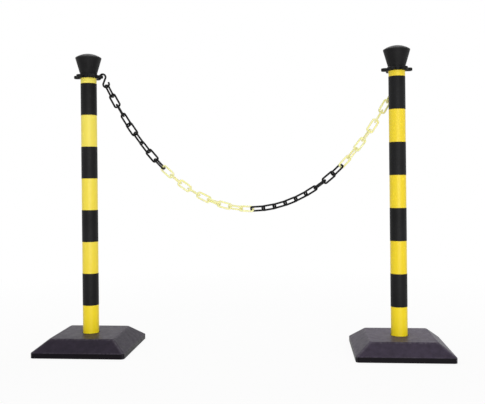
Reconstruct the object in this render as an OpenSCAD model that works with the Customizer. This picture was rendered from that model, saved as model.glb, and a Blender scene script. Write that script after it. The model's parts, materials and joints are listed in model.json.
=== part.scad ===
// Two striped chain posts on weighted square bases, with a plastic chain hung between their heads.
// X runs along the line of the posts, Y away from the viewer, Z up; the origin is on the floor, midway.

/* [Posts] */
// Distance between the axes of the two posts
post_spacing = 963; // [850:1:1100]
// Outside diameter of the tube
tube_d = 50; // [42:1:58]
// Wall of the tube
tube_wall = 3; // [2:0.5:4]
// Length of the tube
tube_len = 856; // [820:1:1000]
// Black bands on each tube
band_count = 4; // [1:1:4]
// Height of a black band
band_h = 100; // [60:1:105]
// Yellow stretch between two black bands
band_gap = 100; // [60:1:105]
// Yellow ring left above the top band
band_top_gap = 17; // [8:1:30]
// Thickness of the black film
band_film = 0.25; // [0.15:0.05:0.6]

/* [Base] */
// Side of the base at the floor
base_w = 286; // [260:1:340]
// Side of the flat platform on top
platform_w = 202; // [150:1:220]
// Height of the base
base_h = 50; // [44:1:70]
// Height of the upright lip round the floor edge
lip_h = 16; // [10:1:24]
// Radius of the base's upright corners
base_corner_r = 11; // [8:1:20]
// Rounding of the platform's edge
platform_round = 4; // [2:0.5:6]
// Rounding of the lip's upper edge
lip_round = 2; // [1:0.5:3]
// Wall of the base's plastic shell
shell_wall = 4; // [3:0.5:6]
// Wall of the sleeve that holds the tube
sleeve_wall = 3; // [2:0.5:6]
// Floor under the tube
socket_floor = 6; // [4:1:12]
// Chamfer round the mouth of the socket
mouth_chamfer = 3; // [1:0.5:3]

/* [Eye collar] */
// Eyes round the collar
eye_count = 6; // [5:1:6]
// Wall of the collar's hub
hub_wall = 3.3; // [2.5:0.1:5]
// Height of the hub
hub_h = 13; // [11:0.5:16]
// Chamfer round the hub's outer edges
hub_chamfer = 0.8; // [0.4:0.1:1.2]
// Thickness of the lip that sits on the end of the tube
seat_lip = 5; // [2:0.5:6]
// Diameter of the hole in an eye
eye_hole_d = 12.5; // [12:0.5:13]
// Width of the rim outside the hole
eye_rim = 4; // [3:0.5:5]
// Thickness of an eye
eye_h = 9; // [6:0.5:9]
// How far the eyes lie below the middle of the hub
eye_drop = 2; // [0:0.5:2]
// Rounding of an eye's edges
eye_round = 2; // [0.5:0.25:2]
// Chamfer at both ends of the hole in an eye
eye_chamfer = 1.6; // [0.6:0.2:1.6]
// Web between the hub and the hole
eye_web = 2; // [1.5:0.5:5]

/* [Cap] */
// Height of the flared side
cap_side_h = 52; // [40:1:60]
// How far the rim stands out past the foot of the flare
cap_flare = 15; // [8:0.5:16]
// Rise of the domed top above the rim
cap_dome_h = 13; // [10:1:22]
// Rounding of the rim
cap_rim_round = 2; // [1.5:0.5:4]
// Step of the cap's foot inside the collar's edge
cap_step = 2.5; // [1:0.25:3]
// Wall of the cap
cap_wall = 3; // [2:0.5:4]
// Length of the plug inside the tube
plug_len = 38; // [25:1:50]
// Wall of the plug
plug_wall = 2.5; // [1.5:0.5:4]
// Width of the slots that split the plug
plug_slot_w = 3; // [2:0.5:5]
// Height of the slots
plug_slot_h = 22; // [12:1:24]
// Taper at the plug's entering end
plug_lead = 1.5; // [0.5:0.5:2]

/* [Chain] */
// Coloured stretches, black and yellow by turns
colour_stretches = 4; // [4:1:5]
// Links in each coloured stretch
links_per_colour = 9; // [8:1:10]
// Distance from link to link
link_pitch = 35.2; // [32:0.1:38]
// Diameter of a link's round bar
link_wire = 6; // [4.5:0.1:6.5]
// Clear width inside a link
link_inner_w = 12; // [11:0.1:14]
// Radius of a link's corners, to the middle of the bar
link_corner_r = 5.5; // [4.5:0.25:6.5]
// Diameter of a hook's wire
hook_wire = 6; // [4:0.25:6]
// Radius of a hook's bends, to the middle of the wire
hook_bend_r = 9.5; // [9.5:0.25:10.5]
// Straight stretch between a hook's two bends
hook_straight = 17; // [14:0.5:24]
// How far each bend turns, in degrees
hook_turn = 235; // [200:5:245]
// Step where the rounded tip of a hook meets its wire
hook_tip_step = 0.1; // [0.05:0.05:0.3]

/* [Clearances] */
// Tube in its socket, and plug in the tube
slide_gap = 0.3; // [0.2:0.05:0.6]
// Collar on the tube
collar_gap = 0.2; // [0.1:0.05:0.4]
// Between links that hang in one another
hang_gap = 0.3; // [0.2:0.05:0.5]
// Hook over the rim of its eye
hook_gap = 0.85; // [0.8:0.05:1.2]
// Film on the tube, and ballast in its shell
skin_gap = 0.05; // [0.03:0.01:0.15]

/* [Hidden] */
$fn = 64;
corner_fn = 32;
cap_fn = 128;
black = [0.10, 0.10, 0.11];
yellow = [0.95, 0.80, 0.10];
link_yellow = [0.98, 0.92, 0.35];
base_black = [0.17, 0.15, 0.19];
concrete = [0.62, 0.61, 0.58];
solid_overrun = 1;

tube_r = tube_d / 2;
tube_bore_r = tube_r - tube_wall;
tube_top = socket_floor + tube_len;
collar_bottom = tube_top + seat_lip - hub_h;
collar_top = tube_top + seat_lip;
hub_r = tube_r + collar_gap + hub_wall;

socket_r = tube_r + slide_gap;
sleeve_r = socket_r + sleeve_wall;
base_half = base_w / 2;
platform_half = platform_w / 2;
slope_angle = atan((base_h - lip_h) / (base_half - platform_half));
// The inside of the shell follows the slope at the same wall.
slope_shift = shell_wall / sin(slope_angle);
lip_inside = base_half - shell_wall;
lip_inside_h = lip_h - (slope_shift - shell_wall) * tan(slope_angle);
roof_inside_h = base_h - shell_wall;
roof_inside = platform_half - slope_shift + shell_wall / tan(slope_angle);

eye_r = eye_hole_d / 2 + eye_rim;
eye_centre_r = hub_r + eye_web + eye_hole_d / 2;
eye_bar_r = eye_centre_r + eye_hole_d / 2 + eye_rim / 2;
eye_z = (collar_bottom + collar_top) / 2 - eye_drop;
// Reach of the rim's section from its own middle, corner to corner
eye_bar_reach = norm([eye_rim / 2 - eye_round, eye_h / 2 - eye_round]) + eye_round;

cap_foot_r = hub_r - cap_step;
cap_rim_r = cap_foot_r + cap_flare;
plug_r = tube_bore_r - slide_gap;
dome_r = (cap_rim_r * cap_rim_r + cap_dome_h * cap_dome_h) / (2 * cap_dome_h);

left_eye_deg = 0;
right_eye_deg = 360 / eye_count;
left_post = [-post_spacing / 2, 0, 0];
right_post = [post_spacing / 2, 0, 0];

// Outline of the chain: straight pieces end to end, hung between two eyes of equal height
link_count = colour_stretches * links_per_colour;
link_inner_len = link_pitch + hang_gap;
hook_inner_r = hook_bend_r - hook_wire / 2;
hook_reach = norm([2 * hook_bend_r, hook_straight]);
// Drop from the middle of the eye's rim to the middle of the hook's upper bend
hook_drop = hook_inner_r - eye_bar_reach - hook_gap;
hook_len = hook_drop + hook_reach + hook_inner_r - hang_gap / 2;
left_seat = left_post + eye_bar_r * [cos(left_eye_deg), sin(left_eye_deg), 0] + [0, 0, eye_z];
right_seat = right_post + eye_bar_r * [cos(right_eye_deg), sin(right_eye_deg), 0] + [0, 0, eye_z];
seat_line = right_seat - left_seat;
chain_span = norm(seat_line);
chain_heading = atan2(seat_line.y, seat_line.x);
piece_count = link_count + 2;
chain_len = 2 * hook_len + link_count * link_pitch;

function piece_len(i) = (i == 0 || i == piece_count - 1) ? hook_len : link_pitch;
function piece_middle(i) =
    i == 0 ? hook_len / 2
    : i == piece_count - 1 ? chain_len - hook_len / 2
    : hook_len + (i - 0.5) * link_pitch;
// A hung chain's slope grows in step with the length from its lowest point.
function piece_slope(i, sag) = atan(sag * (piece_middle(i) - chain_len / 2));
function sum_of(values, i = 0) = i == len(values) ? 0 : values[i] + sum_of(values, i + 1);
function span_at(sag) = sum_of([for (i = [0:piece_count - 1]) piece_len(i) * cos(piece_slope(i, sag))]);
function find_sag(low, high, steps) =
    steps == 0 ? (low + high) / 2
    : span_at((low + high) / 2) > chain_span ? find_sag((low + high) / 2, high, steps - 1)
    : find_sag(low, (low + high) / 2, steps - 1);
steepest_sag = 0.1;
sag_steps = 45;
chain_sag = find_sag(0, steepest_sag, sag_steps);
slopes = [for (i = [0:piece_count - 1]) piece_slope(i, chain_sag)];
function joint_point(i) =
    i == 0 ? [0, 0]
    : joint_point(i - 1) + piece_len(i - 1) * [cos(slopes[i - 1]), sin(slopes[i - 1])];
function on_chain(p) =
    left_seat + [p.x * cos(chain_heading), p.x * sin(chain_heading), p.y];

// Roll of a hook about its own length, which lays its bend across the rim of its eye
function hook_roll(eye_deg, heading, tilt) =
    let (across = eye_deg - heading)
    atan2(sin(across), cos(across) * cos(tilt));
hook_tilt = 90 + slopes[0];
left_hook_roll = hook_roll(left_eye_deg, chain_heading, hook_tilt);
right_hook_roll = hook_roll(right_eye_deg, chain_heading + 180, hook_tilt);

// Twist of the chain along its length, as [link, degrees gained on a chain whose links stand square]
first_link_lean = 16;
last_middle_twist = 39;
last_twist_free = right_hook_roll + 90 * (link_count - 1);
last_twist = last_twist_free + 180 * round((last_middle_twist - last_twist_free) / 180);
twist_keys = [
    [1, first_link_lean - left_hook_roll],
    [2, 6],
    [3, -1],
    [5, 65],
    [6, 54],
    [8, 4],
    [9, 15],
    [19, -45],
    [24, -45],
    [27, last_middle_twist],
    [link_count, last_twist],
];
function link_roll(i) = lookup(i, twist_keys) - 90 * (i - 1);

function two_digits(i) = i < 10 ? str("0", i) : str(i);
function link_name(i) = str("link_", two_digits(i));
function link_colour(i) = floor((i - 1) / links_per_colour) % 2 == 0 ? black : link_yellow;

post_nodes = ["base_shell", "ballast", "tube", "black_bands", "eye_collar", "cap"];

// Four copies at the corners of a square
module at_corners(half) {
    for (x = [-1, 1])
        for (y = [-1, 1])
            translate([x * half, y * half, 0])
                children();
}

// A round bar bent in the XZ plane, from +X upwards
module bent_bar(bend_r, wire, turn) {
    rotate([90, 0, 0])
        rotate_extrude(angle = turn)
            translate([bend_r, 0])
                circle(d = wire);
}

// A rounded edge that runs round one upright corner
module corner_ring(corner_r, edge_r) {
    rotate_extrude($fn = corner_fn)
        translate([corner_r - edge_r, 0])
            circle(edge_r);
}

module base_shell() {
    corner_at = base_half - base_corner_r;
    platform_at = platform_half - base_corner_r;
    color(base_black)
        difference() {
            union() {
                difference() {
                    hull() {
                        at_corners(corner_at)
                            cylinder(r = base_corner_r, h = lip_h - lip_round, $fn = corner_fn);
                        at_corners(corner_at)
                            translate([0, 0, lip_h - lip_round])
                                corner_ring(base_corner_r, lip_round);
                        at_corners(platform_at)
                            translate([0, 0, base_h - platform_round])
                                corner_ring(base_corner_r, platform_round);
                    }
                    base_hollow(0);
                }
                cylinder(r = sleeve_r, h = base_h - shell_wall / 2);
            }
            translate([0, 0, socket_floor])
                cylinder(r = socket_r, h = base_h);
            translate([0, 0, base_h - mouth_chamfer])
                cylinder(
                    r1 = socket_r,
                    r2 = socket_r + mouth_chamfer + solid_overrun,
                    h = mouth_chamfer + solid_overrun
                );
        }
}

// Space inside the base's shell, drawn in by a clearance on every side
module base_hollow(gap) {
    corner_r = base_corner_r - shell_wall;
    below = gap > 0 ? 0 : solid_overrun;
    hull() {
        at_corners(lip_inside - base_corner_r + shell_wall)
            translate([0, 0, -below])
                cylinder(r = corner_r - gap, h = lip_inside_h + below - gap, $fn = corner_fn);
        at_corners(roof_inside - base_corner_r + shell_wall)
            cylinder(r = corner_r - gap, h = roof_inside_h - gap, $fn = corner_fn);
    }
}

module ballast() {
    color(concrete)
        difference() {
            base_hollow(skin_gap);
            translate([0, 0, -solid_overrun])
                cylinder(r = sleeve_r + skin_gap, h = base_h);
        }
}

module tube() {
    color(yellow)
        translate([0, 0, socket_floor])
            difference() {
                cylinder(r = tube_r, h = tube_len);
                translate([0, 0, -solid_overrun])
                    cylinder(r = tube_bore_r, h = tube_len + 2 * solid_overrun);
            }
}

module black_bands() {
    film_r = tube_r + skin_gap;
    color(black)
        for (i = [0:band_count - 1])
            translate([0, 0, collar_bottom - band_top_gap - band_h - i * (band_h + band_gap)])
                difference() {
                    cylinder(r = film_r + band_film, h = band_h);
                    translate([0, 0, -solid_overrun])
                        cylinder(r = film_r, h = band_h + 2 * solid_overrun);
                }
}

// Section of an eye's edge: a bar with rounded corners, standing between two distances from an axis
module edge_section(from, to) {
    flat_h = eye_h - 2 * eye_round;
    translate([from, -flat_h / 2])
        square([to - from, flat_h]);
    translate([from, -eye_h / 2])
        square([to - from - eye_round, eye_h]);
    for (side = [-1, 1])
        translate([to - eye_round, side * flat_h / 2])
            circle(eye_round);
}

// One eye, from the middle of its hole inwards to the hub
module eye() {
    rotate_extrude()
        edge_section(0, eye_r);
    for (side = [0, 1])
        mirror([0, side, 0])
            rotate([90, 0, -90])
                linear_extrude(eye_centre_r - tube_r - hub_wall / 2)
                    edge_section(0, eye_r);
}

// The hole through an eye, with both its ends chamfered
module eye_hole() {
    hole_r = eye_hole_d / 2;
    translate([0, 0, -eye_h])
        cylinder(r = hole_r, h = 2 * eye_h);
    for (end = [0, 1])
        mirror([0, 0, end])
            translate([0, 0, eye_h / 2 - eye_chamfer])
                cylinder(r1 = hole_r, r2 = hole_r + 2 * eye_chamfer, h = 2 * eye_chamfer);
}

// The collar's hub, with its outer edges chamfered
module hub() {
    rotate_extrude()
        polygon([
            [0, 0],
            [hub_r - hub_chamfer, 0],
            [hub_r, hub_chamfer],
            [hub_r, hub_h - hub_chamfer],
            [hub_r - hub_chamfer, hub_h],
            [0, hub_h],
        ]);
}

module eye_collar() {
    color(black)
        difference() {
            union() {
                translate([0, 0, collar_bottom])
                    hub();
                for (i = [0:eye_count - 1])
                    rotate([0, 0, i * 360 / eye_count])
                        translate([eye_centre_r, 0, eye_z])
                            eye();
            }
            translate([0, 0, collar_bottom - solid_overrun])
                cylinder(r = tube_r + collar_gap, h = tube_top - collar_bottom + solid_overrun);
            translate([0, 0, collar_bottom])
                cylinder(r = tube_bore_r, h = hub_h + solid_overrun);
            for (i = [0:eye_count - 1])
                rotate([0, 0, i * 360 / eye_count])
                    translate([eye_centre_r, 0, eye_z])
                        eye_hole();
        }
}

// Half section of the cap's outside, or of its hollow when drawn in by the wall
module cap_section(inset) {
    lean = cap_flare / cap_side_h;
    side_shift = inset * norm([1, lean]);
    high = cap_side_h + cap_dome_h;
    intersection() {
        polygon([
            [0, inset],
            [cap_foot_r - side_shift + lean * inset, inset],
            [cap_foot_r - side_shift + lean * high, high],
            [0, high],
        ]);
        translate([0, high - dome_r])
            circle(dome_r - inset, $fn = cap_fn);
    }
}

// Outside of the cap with its rim eased: a ball section that touches both the side and the dome
module cap_outline() {
    lean = cap_flare / cap_side_h;
    dome_at = cap_side_h + cap_dome_h - dome_r;
    side_out = [1, -lean] / norm([1, lean]);
    side_foot = [cap_foot_r, 0] - cap_rim_round * side_out;
    up_side = [lean, 1] / norm([1, lean]);
    from_dome = side_foot - [0, dome_at];
    along = from_dome * up_side;
    off = from_dome * from_dome - (dome_r - cap_rim_round) * (dome_r - cap_rim_round);
    ball_at = side_foot + up_side * (-along + sqrt(along * along - off));
    dome_out = (ball_at - [0, dome_at]) / norm(ball_at - [0, dome_at]);
    // The two tangents meet at the sharp corner that the ball section replaces.
    corner = ball_at + cap_rim_round * (side_out + dome_out) / (1 + side_out * dome_out);
    difference() {
        cap_section(0);
        polygon([
            ball_at + cap_rim_round * side_out,
            ball_at + 2 * (corner - ball_at),
            ball_at + cap_rim_round * dome_out,
        ]);
    }
    translate(ball_at)
        circle(cap_rim_round);
}

module cap() {
    color(black)
        translate([0, 0, collar_top]) {
            difference() {
                union() {
                    rotate_extrude($fn = cap_fn)
                        cap_outline();
                    translate([0, 0, plug_lead - plug_len])
                        cylinder(r = plug_r, h = plug_len);
                    translate([0, 0, -plug_len])
                        cylinder(r1 = plug_r - plug_lead, r2 = plug_r, h = plug_lead);
                }
                rotate_extrude($fn = cap_fn)
                    cap_section(cap_wall);
                translate([0, 0, -plug_len - solid_overrun])
                    cylinder(r = plug_r - plug_wall, h = plug_len + cap_wall + 2 * solid_overrun);
                for (turn = [0, 90])
                    rotate([0, 0, turn])
                        translate([-tube_r, -plug_slot_w / 2, -plug_len - solid_overrun])
                            cube([tube_d, plug_slot_w, plug_slot_h + solid_overrun]);
            }
        }
}

// The upper bend of a hook, from the end of its straight stretch round to the tip
module hook_half() {
    translate([-hook_bend_r, 0, hook_straight / 2]) {
        bent_bar(hook_bend_r, hook_wire, hook_turn);
        rotate([0, -hook_turn, 0])
            translate([hook_bend_r, 0, 0])
                sphere(hook_wire / 2 - hook_tip_step);
    }
}

// A hook hanging along -Z, with the middle of its upper bend at the origin
module s_hook() {
    color(black)
        rotate([0, atan(2 * hook_bend_r / hook_straight), 0])
            translate([hook_bend_r, 0, -hook_straight / 2]) {
                hook_half();
                rotate([0, 180, 0])
                    hook_half();
                translate([0, 0, -hook_straight / 2])
                    cylinder(d = hook_wire, h = hook_straight);
            }
}

module placed_hook(seat, heading, roll) {
    translate(seat)
        rotate([0, 0, heading])
            rotate([0, -hook_tilt, 0])
                translate([0, 0, -hook_drop])
                    rotate([0, 0, roll])
                        s_hook();
}

// One closed link, its length along X and its width along Y
module chain_link() {
    half_len = (link_inner_len + link_wire) / 2;
    half_w = (link_inner_w + link_wire) / 2;
    side_at = half_len - link_corner_r;
    end_at = half_w - link_corner_r;
    for (turn = [0, 180])
        rotate([0, 0, turn]) {
            for (side = [0, 1])
                mirror([0, side, 0])
                    translate([side_at, end_at, 0])
                        rotate_extrude(angle = 90)
                            translate([link_corner_r, 0])
                                circle(d = link_wire);
            translate([-side_at, half_w, 0])
                rotate([0, 90, 0])
                    cylinder(d = link_wire, h = 2 * side_at);
            translate([half_len, -end_at, 0])
                rotate([-90, 0, 0])
                    cylinder(d = link_wire, h = 2 * end_at);
        }
}

module placed_link(i) {
    middle = (joint_point(i) + joint_point(i + 1)) / 2;
    color(link_colour(i))
        translate(on_chain(middle))
            rotate([0, 0, chain_heading])
                rotate([0, -slopes[i], 0])
                    rotate([link_roll(i), 0, 0])
                        chain_link();
}

translate(left_post) base_shell();  // left_base_shell
translate(left_post) ballast();  // left_ballast
translate(left_post) tube();  // left_tube
translate(left_post) black_bands();  // left_black_bands
translate(left_post) eye_collar();  // left_eye_collar
translate(left_post) cap();  // left_cap
translate(right_post) base_shell();  // right_base_shell
translate(right_post) ballast();  // right_ballast
translate(right_post) tube();  // right_tube
translate(right_post) black_bands();  // right_black_bands
translate(right_post) eye_collar();  // right_eye_collar
translate(right_post) cap();  // right_cap
placed_hook(left_seat, chain_heading, left_hook_roll);  // left_s_hook
placed_hook(right_seat, chain_heading + 180, right_hook_roll);  // right_s_hook
for (i = [1:link_count])
    placed_link(i);
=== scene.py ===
"""Looks of two striped chain posts and their plastic chain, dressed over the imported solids."""
import json
import math

import bmesh
import bpy
import numpy as np
from mathutils import Matrix, Vector

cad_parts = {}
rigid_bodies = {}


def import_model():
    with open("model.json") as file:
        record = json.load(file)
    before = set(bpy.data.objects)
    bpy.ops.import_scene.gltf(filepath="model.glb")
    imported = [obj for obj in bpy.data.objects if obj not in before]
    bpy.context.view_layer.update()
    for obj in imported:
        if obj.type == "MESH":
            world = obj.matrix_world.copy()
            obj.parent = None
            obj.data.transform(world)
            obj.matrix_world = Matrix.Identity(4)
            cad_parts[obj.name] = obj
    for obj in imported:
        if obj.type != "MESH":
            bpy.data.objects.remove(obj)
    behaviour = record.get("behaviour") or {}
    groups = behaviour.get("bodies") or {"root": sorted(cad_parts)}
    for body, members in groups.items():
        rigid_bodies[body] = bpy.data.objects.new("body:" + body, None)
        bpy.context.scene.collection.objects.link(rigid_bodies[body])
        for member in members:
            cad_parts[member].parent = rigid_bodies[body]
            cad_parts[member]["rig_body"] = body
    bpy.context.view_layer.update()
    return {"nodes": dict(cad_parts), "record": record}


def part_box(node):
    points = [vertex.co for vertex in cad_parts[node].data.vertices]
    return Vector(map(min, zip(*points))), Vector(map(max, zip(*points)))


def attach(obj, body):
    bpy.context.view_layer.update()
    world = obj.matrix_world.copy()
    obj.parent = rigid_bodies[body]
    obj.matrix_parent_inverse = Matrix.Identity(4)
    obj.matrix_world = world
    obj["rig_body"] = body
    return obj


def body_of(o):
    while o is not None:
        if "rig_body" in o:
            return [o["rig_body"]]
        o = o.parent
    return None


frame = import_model()

# Where things are, in metres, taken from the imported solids
SIDES = ("left", "right")
LINKS = sorted(node for node in frame["nodes"] if node.startswith("link_"))
SLOT_OF = {part["node"]: part["material_slot"] for part in frame["record"]["subparts"]}


def points_of(node):
    """Corners of a CAD node's mesh, one row each."""
    return np.array([corner.co for corner in frame["nodes"][node].data.vertices], float)


def middle(node):
    low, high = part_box(node)
    return (low + high) / 2


def radius_and_height(node):
    """Distance of each corner of a right-hand node from its post's axis, and its height."""
    x, y, z = points_of(node).T
    return np.hypot(x - POST_X, y), z


# A corner this near to an outermost place counts as being there
CLOSE = 0.0005

POST_AT = {side: middle(f"{side}_tube") for side in SIDES}
POST_X = POST_AT["right"].x
TUBE_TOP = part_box("right_tube")[1].z

base_x, _, base_z = points_of("right_base_shell").T
BASE_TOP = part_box("right_base_shell")[1].z
BASE_HALF = base_x.max() - POST_X
PLATFORM_HALF = base_x[base_z > BASE_TOP - CLOSE].max() - POST_X
LIP_TOP = base_z[base_x - POST_X > BASE_HALF - CLOSE].max()

film_radius, film_height = radius_and_height("right_black_bands")
FILM_R = film_radius.max()
FILM_EDGES = sorted(set(np.round(film_height, 5)))
FILM_STEP = FILM_EDGES[1] - FILM_EDGES[0]

cap_radius, cap_height = radius_and_height("right_cap")
CAP_RIM_R = cap_radius.max()
CAP_RIM_Z = cap_height[cap_radius > CAP_RIM_R - CLOSE].mean()

# The collar's ring ends within the first of these distances from the axis, and only eyes reach the second
collar_radius, collar_height = radius_and_height("right_eye_collar")
RING_END = 0.65 * collar_radius.max()
EYES_ONLY = 0.70 * collar_radius.max()
EYE_TOP = collar_height[collar_radius > EYES_ONLY].max()

# The photograph's camera: a level view from right of the middle, seen through a normal lens
IMAGE_W_PX = 485
FOCAL_PX = 673.3
HORIZON_ABOVE_MIDDLE_PX = 16.4
SENSOR_W_MM = 36.0
CAMERA_AT = Vector((0.1889, -2.088, 0.5095))
CAMERA_YAW = math.radians(5.015)
CAMERA_ROLL = math.radians(0.58)


# Small helpers for node trees
def rgb(r, g, b):
    return (r, g, b, 1.0)


class Tree:
    """Fills a node tree in short calls, where a value is a number, a colour or another node's output."""

    def __init__(self, node_tree):
        self.nodes = node_tree.nodes
        self.links = node_tree.links

    def add(self, kind, **settings):
        node = self.nodes.new(kind)
        for key, value in settings.items():
            setattr(node, key, value)
        return node

    def link(self, source, target):
        if isinstance(source, bpy.types.NodeSocket):
            self.links.new(source, target)
        else:
            target.default_value = source

    def math(self, operation, a, b=0.0):
        node = self.add("ShaderNodeMath", operation=operation)
        self.link(a, node.inputs[0])
        self.link(b, node.inputs[1])
        return node.outputs[0]

    def times(self, a, b):
        return self.math("MULTIPLY", a, b)

    def most(self, a, b):
        return self.math("MAXIMUM", a, b)

    def spread(self, value, span, onto=(0.0, 1.0)):
        """Stretches one span of a value onto another, held at the ends."""
        node = self.add("ShaderNodeMapRange")
        self.link(value, node.inputs["Value"])
        for name, number in zip(("From Min", "From Max", "To Min", "To Max"), (*span, *onto)):
            node.inputs[name].default_value = number
        return node.outputs["Result"]


class Shader(Tree):
    """A new material around a Principled shader, whose patterns follow the object's own coordinates."""

    def __init__(self, name):
        self.material = bpy.data.materials.new(name)
        self.material.use_nodes = True
        super().__init__(self.material.node_tree)
        self.body = self.nodes["Principled BSDF"]
        self.place = self.add("ShaderNodeTexCoord").outputs["Object"]

    def set(self, **values):
        """Constant values on the shader's own sockets, named with _ for a space."""
        for key, value in values.items():
            self.body.inputs[key.replace("_", " ")].default_value = value

    def axes(self):
        node = self.add("ShaderNodeSeparateXYZ")
        self.link(self.place, node.inputs[0])
        return node.outputs

    def facing_up(self):
        """1 where a face looks straight up, 0 where it stands upright."""
        node = self.add("ShaderNodeSeparateXYZ")
        self.link(self.add("ShaderNodeNewGeometry").outputs["Normal"], node.inputs[0])
        return node.outputs["Z"]

    def stretched(self, x, y, z):
        mapping = self.add("ShaderNodeMapping")
        mapping.inputs["Scale"].default_value = (x, y, z)
        self.link(self.place, mapping.inputs["Vector"])
        return mapping.outputs["Vector"]

    def noise(self, scale, detail, rough=0.5, where=None):
        node = self.add("ShaderNodeTexNoise")
        self.link(where or self.place, node.inputs["Vector"])
        node.inputs["Scale"].default_value = scale
        node.inputs["Detail"].default_value = detail
        node.inputs["Roughness"].default_value = rough
        return node.outputs["Fac"]

    def patches(self, scale, detail, rough, span, onto=(0.0, 1.0)):
        """Noise that parts into patches, because a span of its levels is stretched."""
        return self.spread(self.noise(scale, detail, rough), span, onto)

    def cells(self, scale):
        node = self.add("ShaderNodeTexVoronoi")
        self.link(self.place, node.inputs["Vector"])
        node.inputs["Scale"].default_value = scale
        return node.outputs["Distance"]

    def near(self, value, target, reach):
        """1 where value meets target, falling to 0 at reach on either side."""
        off = self.math("ABSOLUTE", self.math("SUBTRACT", value, target))
        return self.spread(off, (0.0, reach), onto=(1.0, 0.0))

    def mix(self, share, a, b):
        node = self.add("ShaderNodeMix", data_type="RGBA")
        self.link(share, node.inputs["Factor"])
        self.link(a, node.inputs["A"])
        self.link(b, node.inputs["B"])
        return node.outputs["Result"]

    def bump(self, height, depth, strength, under=None):
        """A bumpy normal, laid over the one under it."""
        node = self.add("ShaderNodeBump")
        node.inputs["Strength"].default_value = strength
        node.inputs["Distance"].default_value = depth
        self.link(height, node.inputs["Height"])
        if under is not None:
            self.link(under, node.inputs["Normal"])
        return node.outputs["Normal"]

    def finish(self, colour, roughness, normal):
        self.link(colour, self.body.inputs["Base Color"])
        self.link(roughness, self.body.inputs["Roughness"])
        self.link(normal, self.body.inputs["Normal"])
        return self.material


# How far dirt, wear and the bases' painted edge highlight reach, in metres
GRIME_CLIMBS = 0.05
FILM_DIRT = 0.0018
CAP_WEAR = 0.003
EYE_WEAR = 0.0015
RIM_WEAR_AND_HIGHLIGHT = 0.004
HIP_WEAR_AND_HIGHLIGHT = 0.006
LIP_WEAR_AND_HIGHLIGHT = 0.002
# Wear and painted highlight along the base's rounded edges are strongest this far beyond the flat platform
# and the upright lip
RIM_BEYOND = 0.002
LIP_BEYOND = 0.001
# Wear and painted highlight on the lip, as a share of those on the other edges
LIP_SHARE = 0.6


# Materials
def yellow_tube():
    """Drawn satin plastic: paler higher up as a painted highlight, more so on the left post; brighter at its
    foot as painted light; dirty along the film.
    """
    look = Shader("yellow_tube")
    look.set(IOR=1.36, Subsurface_Weight=0.06, Subsurface_Radius=(0.004, 0.003, 0.0006))
    deep, pale, painted_foot_light = rgb(0.875, 0.640, 0.002), rgb(0.885, 0.765, 0.130), rgb(0.985, 0.755, 0.011)
    warm, dirt = rgb(0.890, 0.700, 0.025), rgb(0.50, 0.34, 0.040)
    along, _, height = look.axes()
    # Paler towards the top: a painted highlight, far weaker on the right post.
    by_height = look.spread(height, (BASE_TOP, TUBE_TOP), onto=(0.17, 1.0))
    by_side = look.spread(along, (-POST_X, POST_X), onto=(1.0, 0.25))
    colour = look.mix(look.times(by_height, by_side), deep, pale)
    # Brighter at the foot: painted light where the base shades the tube.
    at_foot = look.spread(height, (BASE_TOP, FILM_EDGES[1]), onto=(1.0, 0.0))
    colour = look.mix(at_foot, colour, painted_foot_light)
    drift = look.patches(9.0, 4.0, 0.5, (0.35, 0.65), onto=(0.0, 0.20))
    colour = look.mix(drift, colour, warm)
    low = look.spread(height, (BASE_TOP, BASE_TOP + GRIME_CLIMBS), onto=(1.0, 0.1))
    grime = look.times(low, look.patches(38.0, 6.0, 0.65, (0.60, 0.80), onto=(0.0, 0.20)))
    above_first = look.most(look.math("SUBTRACT", height, FILM_EDGES[0]), -FILM_STEP / 2)
    to_film_edge = look.math("PINGPONG", above_first, FILM_STEP / 2)
    by_film = look.near(to_film_edge, 0.0, FILM_DIRT)
    caught = look.times(by_film, look.patches(90.0, 5.0, 0.7, (0.35, 0.65), onto=(0.1, 0.8)))
    colour = look.mix(look.most(grime, caught), colour, dirt)
    roughness = look.patches(160.0, 5.0, 0.7, (0.3, 0.7), onto=(0.30, 0.44))
    waves = look.bump(look.noise(24.0, 2.0), depth=0.0006, strength=0.25)
    draw_lines = look.noise(700.0, 2.0, where=look.stretched(1.0, 1.0, 0.012))
    normal = look.bump(draw_lines, depth=0.00006, strength=0.5, under=waves)
    return look.finish(colour, roughness, normal)


def black_film():
    """Vinyl film: almost black, satin, with a slight orange peel and hair scratches round it."""
    look = Shader("black_film")
    look.set(IOR=1.24)
    dark, light = rgb(0.0045, 0.0045, 0.0048), rgb(0.0080, 0.0080, 0.0085)
    scratched = rgb(0.020, 0.020, 0.021)
    colour = look.mix(look.patches(14.0, 3.0, 0.5, (0.35, 0.65)), dark, light)
    hairs = look.noise(260.0, 3.0, 0.6, where=look.stretched(0.12, 0.12, 1.0))
    colour = look.mix(look.spread(hairs, (0.66, 0.74), onto=(0.0, 0.35)), colour, scratched)
    roughness = look.patches(120.0, 5.0, 0.65, (0.3, 0.7), onto=(0.44, 0.58))
    normal = look.bump(look.noise(420.0, 2.0), depth=0.00012, strength=0.3)
    return look.finish(colour, roughness, normal)


def cap_and_eye_edges(look):
    """1 along the caps' rims and on the tops of the eyes, where hands and chains rub."""
    x, y, z = look.axes()
    across = look.math("SUBTRACT", look.math("ABSOLUTE", x), POST_X)
    from_axis = look.math("SQRT", look.math("ADD", look.times(across, across), look.times(y, y)))
    rim = look.times(look.near(z, CAP_RIM_Z, CAP_WEAR), look.near(from_axis, CAP_RIM_R, CAP_WEAR))
    eyes = look.times(look.near(z, EYE_TOP, EYE_WEAR), look.spread(from_axis, (RING_END, EYES_ONLY)))
    return look.most(rim, eyes)


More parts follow.
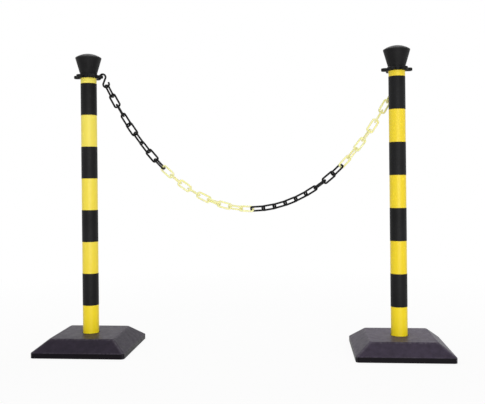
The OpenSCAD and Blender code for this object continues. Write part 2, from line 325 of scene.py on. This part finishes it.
def moulded(name, ior, dark, light, roughness, grain, grain_depth, rubbed=None):
    """Black plastic from a mould with a fine grain: a trace of dust where it faces up, and rubbed places."""
    look = Shader(name)
    look.set(IOR=ior)
    dust_and_top_light, worn_and_highlit = rgb(0.030, 0.029, 0.028), rgb(0.050, 0.049, 0.048)
    colour = look.mix(look.patches(30.0, 4.0, 0.5, (0.35, 0.65)), dark, light)
    upward = look.spread(look.facing_up(), (0.5, 1.0))
    settled_and_lit = look.times(upward, look.patches(85.0, 6.0, 0.7, (0.4, 0.8), onto=(0.0, 0.5)))
    colour = look.mix(settled_and_lit, colour, dust_and_top_light)
    if rubbed is not None:
        bare_and_highlit = look.times(rubbed(look), look.patches(150.0, 5.0, 0.7, (0.35, 0.65), onto=(0.1, 0.9)))
        colour = look.mix(bare_and_highlit, colour, worn_and_highlit)
    sheen = look.patches(220.0, 4.0, 0.6, (0.3, 0.7), onto=roughness)
    fine = look.bump(look.noise(grain, 2.0, 0.55), depth=grain_depth, strength=0.6)
    normal = look.bump(look.noise(60.0, 2.0), depth=0.0004, strength=0.2, under=fine)
    return look.finish(colour, sheen, normal)


def black_plastic():
    dark, light = rgb(0.0045, 0.0043, 0.0045), rgb(0.0080, 0.0077, 0.0080)
    return moulded("black_plastic", 1.24, dark, light, roughness=(0.44, 0.60),
                   grain=2600.0, grain_depth=0.00012, rubbed=cap_and_eye_edges)


def black_link():
    dark, light = rgb(0.0050, 0.0050, 0.0053), rgb(0.0085, 0.0085, 0.0090)
    return moulded("black_link", 1.20, dark, light, roughness=(0.26, 0.40),
                   grain=900.0, grain_depth=0.00004)


def yellow_link():
    """Thin pale plastic that lets some light through."""
    look = Shader("yellow_link")
    look.set(IOR=1.46, Subsurface_Weight=0.30, Subsurface_Scale=1.0)
    look.set(Subsurface_Radius=(0.004, 0.0035, 0.001))
    lemon, pale = rgb(0.870, 0.835, 0.370), rgb(0.905, 0.880, 0.480)
    colour = look.mix(look.patches(26.0, 3.0, 0.5, (0.35, 0.65)), lemon, pale)
    roughness = look.patches(180.0, 4.0, 0.6, (0.3, 0.7), onto=(0.26, 0.38))
    normal = look.bump(look.noise(900.0, 2.0), depth=0.00004, strength=0.5)
    return look.finish(colour, roughness, normal)


def base_edges(look):
    """1 along the platform's edge and the four hips, less along the lip, and 0 a few millimetres away."""
    x, y, z = look.axes()
    across = look.math("ABSOLUTE", look.math("SUBTRACT", look.math("ABSOLUTE", x), POST_X))
    deep = look.math("ABSOLUTE", y)
    out = look.most(across, deep)
    rim = look.near(out, PLATFORM_HALF + RIM_BEYOND, RIM_WEAR_AND_HIGHLIGHT)
    on_slope = look.spread(out, (PLATFORM_HALF - RIM_BEYOND, PLATFORM_HALF + RIM_BEYOND))
    hip = look.times(look.near(across, deep, HIP_WEAR_AND_HIGHLIGHT), on_slope)
    lip = look.times(look.near(z, LIP_TOP + LIP_BEYOND, LIP_WEAR_AND_HIGHLIGHT), LIP_SHARE)
    return look.most(look.most(rim, hip), lip)


def base_plastic():
    """Sand-textured, near black with a purple cast: rubbed edges lightened by a painted highlight, and
    painted light on top, patchy like dust, more on the right base.
    """
    look = Shader("base_plastic")
    look.set(IOR=1.17)
    dark, light = rgb(0.0028, 0.0020, 0.0034), rgb(0.0050, 0.0036, 0.0060)
    dust_and_top_light, worn_and_highlit, speck = rgb(0.084, 0.066, 0.104), rgb(0.125, 0.112, 0.134), rgb(0.040, 0.036, 0.040)
    colour = look.mix(look.patches(16.0, 5.0, 0.6, (0.32, 0.68)), dark, light)
    # Lighter on the upward faces, and more on the right base: painted light, patchy like dust.
    upward = look.spread(look.facing_up(), (0.35, 1.0))
    settled_and_lit = look.times(upward, look.patches(48.0, 6.0, 0.65, (0.30, 0.75), onto=(0.55, 1.0)))
    by_side = look.spread(look.axes()["X"], (-POST_X, POST_X), onto=(0.50, 1.0))
    colour = look.mix(look.times(settled_and_lit, by_side), colour, dust_and_top_light)
    # Rubbed edges: wear, lightened further as a painted highlight along them.
    bare_and_highlit = look.times(base_edges(look), look.patches(130.0, 6.0, 0.7, (0.42, 0.68), onto=(0.0, 0.75)))
    colour = look.mix(bare_and_highlit, colour, worn_and_highlit)
    specks = look.spread(look.cells(520.0), (0.02, 0.10), onto=(0.30, 0.0))
    colour = look.mix(specks, colour, speck)
    roughness = look.patches(70.0, 6.0, 0.6, (0.3, 0.7), onto=(0.32, 0.46))
    sand = look.bump(look.noise(1500.0, 2.0, 0.6), depth=0.00022, strength=0.6)
    normal = look.bump(look.noise(26.0, 3.0), depth=0.0008, strength=0.22, under=sand)
    return look.finish(colour, roughness, normal)


def concrete():
    """Cast filling, seen only from below: grey paste, stones, and air holes with painted shade in them."""
    look = Shader("concrete")
    look.set(IOR=1.45)
    damp, dry = rgb(0.30, 0.29, 0.27), rgb(0.46, 0.45, 0.42)
    stone, hole_shade = rgb(0.25, 0.24, 0.23), rgb(0.14, 0.135, 0.125)
    colour = look.mix(look.patches(40.0, 8.0, 0.7, (0.3, 0.7)), damp, dry)
    stones = look.spread(look.cells(110.0), (0.18, 0.30), onto=(0.45, 0.0))
    colour = look.mix(stones, colour, stone)
    # Darker in the air holes: painted shade.
    holes = look.spread(look.cells(210.0), (0.03, 0.09), onto=(1.0, 0.0))
    colour = look.mix(holes, colour, hole_shade)
    height = look.math("SUBTRACT", look.noise(300.0, 5.0, 0.65), holes)
    normal = look.bump(height, depth=0.0012, strength=0.7)
    return look.finish(colour, roughness=0.9, normal=normal)


# Each maker has the name of the slot that it fills
MAKERS = (yellow_tube, black_film, black_plastic, black_link, yellow_link, base_plastic, concrete)
materials = {maker.__name__: maker() for maker in MAKERS}


def dress(node):
    """Gives a CAD node its finish and smooth shading."""
    shown = frame["nodes"][node]
    shown.data.materials.clear()
    shown.data.materials.append(materials[SLOT_OF[node]])
    for face in shown.data.polygons:
        face.use_smooth = True


for name in frame["nodes"]:
    dress(name)


# Small moulding and wrapping marks, each as its own mesh
def add_piece(name, corners, faces, body, slot):
    mesh = bpy.data.meshes.new(name)
    mesh.from_pydata([Vector(corner) for corner in corners], [], faces)
    shape = bmesh.new()
    shape.from_mesh(mesh)
    bmesh.ops.recalc_face_normals(shape, faces=shape.faces)
    shape.to_mesh(mesh)
    shape.free()
    mesh.materials.append(materials[slot])
    piece = bpy.data.objects.new(name, mesh)
    bpy.context.scene.collection.objects.link(piece)
    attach(piece, body)


def ring_faces(rings, around, closed):
    """Quads between successive rings of corners: a closed row joins up, and an open one gets end faces."""
    faces = []
    for i in range(rings if closed else rings - 1):
        this, following = i * around, (i + 1) % rings * around
        for j in range(around):
            k = (j + 1) % around
            faces.append((this + j, following + j, following + k, this + k))
    if not closed:
        last = (rings - 1) * around
        faces += [tuple(range(around)), tuple(last + k for k in reversed(range(around)))]
    return faces


RIDGE_HIGH, RIDGE_HALF_W, RIDGE_SUNK = 0.00015, 0.00030, 0.00010
CORNER_STEPS = 14
QUARTERS = ((1, 1), (-1, 1), (-1, -1), (1, -1))


def parting_line(node):
    """The fine ridge that the two halves of a mould leave round the outside of a link."""
    points = points_of(node)
    centre = (points.min(0) + points.max(0)) / 2
    _, directions = np.linalg.eigh(np.cov((points - centre).T))
    through, across, along = directions.T
    lengthwise, sideways = np.abs((points - centre) @ along), np.abs((points - centre) @ across)
    half_len, half_w = lengthwise.max(), sideways.max()
    corner_r = (half_len + half_w - (lengthwise + sideways).max()) / (2 - math.sqrt(2))
    corners = []
    for quarter, (end, side) in enumerate(QUARTERS):
        hub = along * end * (half_len - corner_r) + across * side * (half_w - corner_r)
        for step in range(CORNER_STEPS + 1):
            turn = math.pi / 2 * (quarter + step / CORNER_STEPS)
            outward = along * math.cos(turn) + across * math.sin(turn)
            skin = centre + hub + outward * corner_r
            corners.append(skin - outward * RIDGE_SUNK - through * RIDGE_HALF_W)
            corners.append(skin + outward * RIDGE_HIGH)
            corners.append(skin - outward * RIDGE_SUNK + through * RIDGE_HALF_W)
    faces = ring_faces(len(corners) // 3, 3, closed=True)
    body = body_of(frame["nodes"][node])[0]
    add_piece(f"{node}_parting_line", corners, faces, body, SLOT_OF[node])


OVERLAP_W, OVERLAP_RAMP, OVERLAP_HIGH, OVERLAP_SUNK = 0.010, 0.003, 0.00020, 0.00010
OVERLAP_STEPS = 10
OVERLAP_FIRST_DEG, OVERLAP_STEP_DEG = 96.0, 9.0


def film_overlaps(side):
    """Where each ring of film laps over its own start, round the back of the tube."""
    foot = Vector((POST_AT[side].x, POST_AT[side].y, 0.0))
    corners, faces = [], []
    for band, (low, high) in enumerate(zip(FILM_EDGES[0::2], FILM_EDGES[1::2])):
        first = len(corners)
        start = math.radians(OVERLAP_FIRST_DEG + OVERLAP_STEP_DEG * band)
        for step in range(OVERLAP_STEPS + 1):
            reach = OVERLAP_W * step / OVERLAP_STEPS
            turn = start + reach / FILM_R
            outward = Vector((math.cos(turn), math.sin(turn), 0.0))
            lift = OVERLAP_HIGH * min(1.0, reach / OVERLAP_RAMP)
            for rise, z in ((-OVERLAP_SUNK, low), (lift, low), (lift, high), (-OVERLAP_SUNK, high)):
                corners.append(foot + outward * (FILM_R + rise) + Vector((0.0, 0.0, z)))
        band_faces = ring_faces(OVERLAP_STEPS + 1, 4, closed=False)
        faces += [tuple(first + corner for corner in face) for face in band_faces]
    add_piece(f"{side}_film_overlaps", corners, faces, "posts", SLOT_OF[f"{side}_black_bands"])


# Radius and rise of each ring of a gate mark, from its foot in to its dimple
GATE_PROFILE = ((0.0024, -0.0004), (0.0022, 0.0002), (0.0018, 0.00035), (0.0007, 0.0004), (0.0004, 0.0002))
GATE_SIDES = 24


def gate_mark(side):
    """The small round stub that the injection point leaves in the middle of a cap's top."""
    node = f"{side}_cap"
    top = Vector((POST_AT[side].x, POST_AT[side].y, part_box(node)[1].z))
    corners = []
    for radius, rise in GATE_PROFILE:
        for k in range(GATE_SIDES):
            turn = 2 * math.pi * k / GATE_SIDES
            corners.append(top + Vector((radius * math.cos(turn), radius * math.sin(turn), rise)))
    faces = ring_faces(len(GATE_PROFILE), GATE_SIDES, closed=False)
    add_piece(f"{side}_cap_gate_mark", corners, faces, f"{side}_cap", SLOT_OF[node])


for name in LINKS:
    parting_line(name)
for side in SIDES:
    film_overlaps(side)
    gate_mark(side)


# Floor, white surround and soft light
def is_seen(tree):
    """1 where a ray comes from the camera, a reflection or a clear material."""
    ray = tree.add("ShaderNodeLightPath").outputs
    seen_directly_or_reflected = tree.most(ray["Is Camera Ray"], ray["Is Glossy Ray"])
    return tree.most(seen_directly_or_reflected, ray["Is Transmission Ray"])


def make_world(ambient):
    """White where it is seen, and a plain level of light elsewhere."""
    world = bpy.data.worlds.new("surround")
    world.use_nodes = True
    tree = Tree(world.node_tree)
    background = tree.nodes["Background"]
    tree.link(rgb(1.0, 1.0, 1.0), background.inputs["Color"])
    tree.link(tree.spread(is_seen(tree), (0.0, 1.0), onto=(ambient, 1.0)), background.inputs["Strength"])
    bpy.context.scene.world = world


def make_floor(size, colour, glow, near, far):
    """A pale floor that takes a soft shadow near the posts and is as white as the surround far from them."""
    bpy.ops.mesh.primitive_plane_add(size=size)
    floor = bpy.context.object
    floor.name = "floor"
    material = bpy.data.materials.new("floor")
    material.use_nodes = True
    tree = Tree(material.node_tree)
    tree.nodes.remove(tree.nodes["Principled BSDF"])
    diffuse = tree.add("ShaderNodeBsdfDiffuse")
    tree.link(colour, diffuse.inputs["Color"])
    away = tree.add("ShaderNodeVectorMath", operation="LENGTH")
    tree.link(tree.add("ShaderNodeTexCoord").outputs["Object"], away.inputs[0])
    glow_here = tree.spread(away.outputs["Value"], (near, far), onto=(glow, 1.0))
    mixed = tree.add("ShaderNodeMixShader")
    tree.link(tree.times(is_seen(tree), glow_here), mixed.inputs["Fac"])
    tree.link(diffuse.outputs[0], mixed.inputs[1])
    tree.link(tree.add("ShaderNodeEmission").outputs[0], mixed.inputs[2])
    tree.link(mixed.outputs[0], tree.nodes["Material Output"].inputs["Surface"])
    floor.data.materials.append(material)


def softbox(name, at, towards, width, height, watts):
    data = bpy.data.lights.new(name, "AREA")
    data.shape = "RECTANGLE"
    data.size = width
    data.size_y = height
    data.energy = watts
    lamp = bpy.data.objects.new(name, data)
    lamp.location = at
    lamp.rotation_euler = (Vector(towards) - Vector(at)).to_track_quat("-Z", "Y").to_euler()
    bpy.context.scene.collection.objects.link(lamp)


make_world(ambient=0.60)
make_floor(size=40.0, colour=rgb(0.9, 0.9, 0.9), glow=0.90, near=0.7, far=2.0)
softbox("overhead", at=(0.0, 1.6, 3.0), towards=(0.0, 0.0, 0.4), width=3.0, height=2.0, watts=30.0)
softbox("front", at=(0.75, -3.8, 0.45), towards=(-0.2, 0.0, 0.20), width=2.8, height=1.0, watts=65.0)


# Camera
def make_camera():
    data = bpy.data.cameras.new("camera")
    data.sensor_width = SENSOR_W_MM
    data.lens = FOCAL_PX / IMAGE_W_PX * SENSOR_W_MM
    data.shift_y = -HORIZON_ABOVE_MIDDLE_PX / IMAGE_W_PX
    ahead = Vector((-math.sin(CAMERA_YAW), math.cos(CAMERA_YAW), 0.0))
    level_right = Vector((math.cos(CAMERA_YAW), math.sin(CAMERA_YAW), 0.0))
    up = Vector((0.0, 0.0, 1.0)) * math.cos(CAMERA_ROLL) + level_right * math.sin(CAMERA_ROLL)
    right = ahead.cross(up)
    turn = Matrix((right, up, -ahead)).transposed()
    camera = bpy.data.objects.new("camera", data)
    camera.matrix_world = Matrix.Translation(CAMERA_AT) @ turn.to_4x4()
    bpy.context.scene.collection.objects.link(camera)
    bpy.context.scene.camera = camera


make_camera()
bpy.context.scene.view_settings.view_transform = "Standard"
